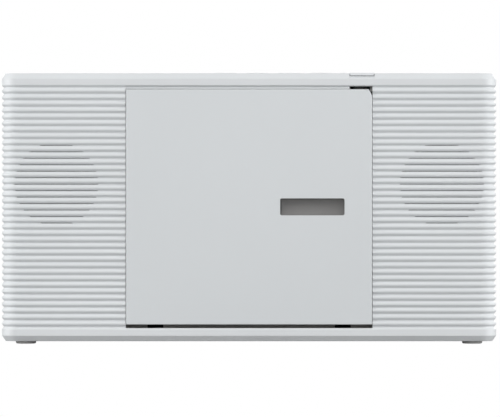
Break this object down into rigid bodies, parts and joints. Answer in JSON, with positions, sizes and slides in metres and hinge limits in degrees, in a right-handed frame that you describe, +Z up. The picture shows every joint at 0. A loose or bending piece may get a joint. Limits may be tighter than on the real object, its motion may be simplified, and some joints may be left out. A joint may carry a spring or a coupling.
{
  "type": "mini hifi system",
  "caption": "Slim shelf hi-fi with a ribbed case, a speaker each side, a drop-down disc door with a window, keys along the top and a rod aerial behind.",
  "frame": {"origin": "under the middle of the case, on the surface that the feet stand on", "axes": "+X to the viewer's right, the front faces -Y, +Z up"},
  "size_m": [0.27, 0.07, 0.148],
  "materials": {
    "case_plastic": "fine matt moulded, pale cool white",
    "door_plastic": "smooth satin moulded, pale cool white",
    "key_plastic": "satin moulded, pale cool white",
    "deck_plastic": "fine matt moulded grey",
    "dark_plastic": "matt black",
    "clear_plastic": "clear polished",
    "display_glass": "smoked polished",
    "lcd": "grey-green display",
    "rubber": "matt grey rubber",
    "steel": "zinc-plated",
    "polished_steel": "bright plated",
    "pressed_steel": "pressed sheet",
    "board": "printed circuit board",
    "copper": "enamelled wire",
    "cone_paper": "pressed paper",
    "magnet_metal": "dark ferrite and plated plates",
    "ferrite": "dark ferrite",
    "aluminium": "extruded",
    "gear_plastic": "natural acetal",
    "brass": "turned"
  },
  "bodies": {
    "case": {"front_cabinet": "case_plastic", "rear_cover": "case_plastic", "rubber_feet": "rubber", "case_screws": "steel", "hinge_pins": "polished_steel", "disc_deck": "deck_plastic", "mech_chassis": "pressed_steel", "mech_dampers": "rubber", "mech_screws": "steel", "spindle_motor": "steel", "guide_rods": "polished_steel", "sled_motor": "steel", "speaker_basket_left": "pressed_steel", "speaker_basket_right": "pressed_steel", "speaker_cone_left": "cone_paper", "speaker_cone_right": "cone_paper", "speaker_magnet_left": "magnet_metal", "speaker_magnet_right": "magnet_metal", "key_board": "board", "tact_switches": "dark_plastic", "display_module": "lcd", "display_lens": "display_glass", "battery_bay": "dark_plastic", "battery_contacts": "steel", "battery_springs": "steel", "mains_inlet": "dark_plastic", "inlet_pins": "brass", "headphone_jack": "dark_plastic", "transformer_core": "ferrite", "transformer_coil": "copper", "main_board": "board", "heat_sink": "aluminium", "capacitors": "dark_plastic", "board_chips": "dark_plastic", "ferrite_bar": "ferrite", "aerial_winding": "copper"},
    "door": {"door_panel": "door_plastic", "window_lens": "clear_plastic"},
    "door_key": {"open_key": "key_plastic"},
    "key_power_body": {"key_power": "key_plastic"},
    "key_source_body": {"key_source": "key_plastic"},
    "key_stop_body": {"key_stop": "key_plastic"},
    "key_play_body": {"key_play": "key_plastic"},
    "key_skip_back_body": {"key_skip_back": "key_plastic"},
    "key_skip_forward_body": {"key_skip_forward": "key_plastic"},
    "key_volume_down_body": {"key_volume_down": "key_plastic"},
    "key_volume_up_body": {"key_volume_up": "key_plastic"},
    "key_repeat_body": {"key_repeat": "key_plastic"},
    "disc_hub": {"turntable": "dark_plastic", "chuck_balls": "polished_steel"},
    "pickup": {"pickup_sled": "dark_plastic", "pickup_lens": "clear_plastic"},
    "gear": {"drive_gear": "gear_plastic"},
    "pinion": {"motor_pinion": "brass"},
    "battery_door": {"battery_cover": "case_plastic"},
    "aerial_base": {"aerial_knuckle": "polished_steel", "aerial_tube": "polished_steel"},
    "aerial_second": {"aerial_middle": "polished_steel"},
    "aerial_third": {"aerial_tip": "polished_steel"}
  },
  "joints": [
    {"name": "door_hinge", "type": "hinge", "parent": "case", "child": "door", "pos_m": [0, -0.0314, 0.0132], "axis": [1, 0, 0], "range_deg": [0, 65]},
    {"name": "door_key_press", "type": "slide", "parent": "case", "child": "door_key", "axis": [0, 0, -1], "range_m": [0, 0.001], "stiffness_N_per_m": 900, "springref_m": -0.0003},
    {"name": "key_power_press", "type": "slide", "parent": "case", "child": "key_power_body", "axis": [0, 0, -1], "range_m": [0, 0.0008], "stiffness_N_per_m": 1200, "springref_m": -0.0003},
    {"name": "key_source_press", "type": "slide", "parent": "case", "child": "key_source_body", "axis": [0, 0, -1], "range_m": [0, 0.0008], "stiffness_N_per_m": 1200, "springref_m": -0.0003},
    {"name": "key_stop_press", "type": "slide", "parent": "case", "child": "key_stop_body", "axis": [0, 0, -1], "range_m": [0, 0.0008], "stiffness_N_per_m": 1200, "springref_m": -0.0003},
    {"name": "key_play_press", "type": "slide", "parent": "case", "child": "key_play_body", "axis": [0, 0, -1], "range_m": [0, 0.0008], "stiffness_N_per_m": 1200, "springref_m": -0.0003},
    {"name": "key_skip_back_press", "type": "slide", "parent": "case", "child": "key_skip_back_body", "axis": [0, 0, -1], "range_m": [0, 0.0008], "stiffness_N_per_m": 1200, "springref_m": -0.0003},
    {"name": "key_skip_forward_press", "type": "slide", "parent": "case", "child": "key_skip_forward_body", "axis": [0, 0, -1], "range_m": [0, 0.0008], "stiffness_N_per_m": 1200, "springref_m": -0.0003},
    {"name": "key_volume_down_press", "type": "slide", "parent": "case", "child": "key_volume_down_body", "axis": [0, 0, -1], "range_m": [0, 0.0008], "stiffness_N_per_m": 1200, "springref_m": -0.0003},
    {"name": "key_volume_up_press", "type": "slide", "parent": "case", "child": "key_volume_up_body", "axis": [0, 0, -1], "range_m": [0, 0.0008], "stiffness_N_per_m": 1200, "springref_m": -0.0003},
    {"name": "key_repeat_press", "type": "slide", "parent": "case", "child": "key_repeat_body", "axis": [0, 0, -1], "range_m": [0, 0.0008], "stiffness_N_per_m": 1200, "springref_m": -0.0003},
    {"name": "disc_hub_spin", "type": "hinge", "parent": "case", "child": "disc_hub", "pos_m": [0, 0, 0.07465], "axis": [0, 1, 0], "continuous": true},
    {"name": "pickup_slide", "type": "slide", "parent": "case", "child": "pickup", "axis": [-1, 0, 0], "range_m": [0, 0.033]},
    {"name": "gear_turn", "type": "hinge", "parent": "case", "child": "gear", "pos_m": [-0.036, 0, 0.05045], "axis": [0, 1, 0], "range_deg": [-318, 0]},
    {"name": "pinion_turn", "type": "hinge", "parent": "case", "child": "pinion", "pos_m": [-0.036, 0, 0.03725], "axis": [0, 1, 0], "range_deg": [0, 845]},
    {"name": "battery_door_hinge", "type": "hinge", "parent": "case", "child": "battery_door", "pos_m": [0, 0.03395, 0.0096], "axis": [-1, 0, 0], "range_deg": [0, 80]},
    {"name": "aerial_swing", "type": "hinge", "parent": "case", "child": "aerial_base", "pos_m": [0.112, 0.032, 0.1385], "axis": [0, 1, 0], "range_deg": [0, 90]},
    {"name": "aerial_second_slide", "type": "slide", "parent": "aerial_base", "child": "aerial_second", "axis": [-1, 0, 0], "range_m": [0, 0.15]},
    {"name": "aerial_third_slide", "type": "slide", "parent": "aerial_second", "child": "aerial_third", "axis": [-1, 0, 0], "range_m": [0, 0.15]}
  ],
  "couplings": [
    {"joint": "gear_turn", "follows": "pickup_slide", "rad_per_m": -166.67},
    {"joint": "pinion_turn", "follows": "pickup_slide", "rad_per_m": 444.44}
  ]
}
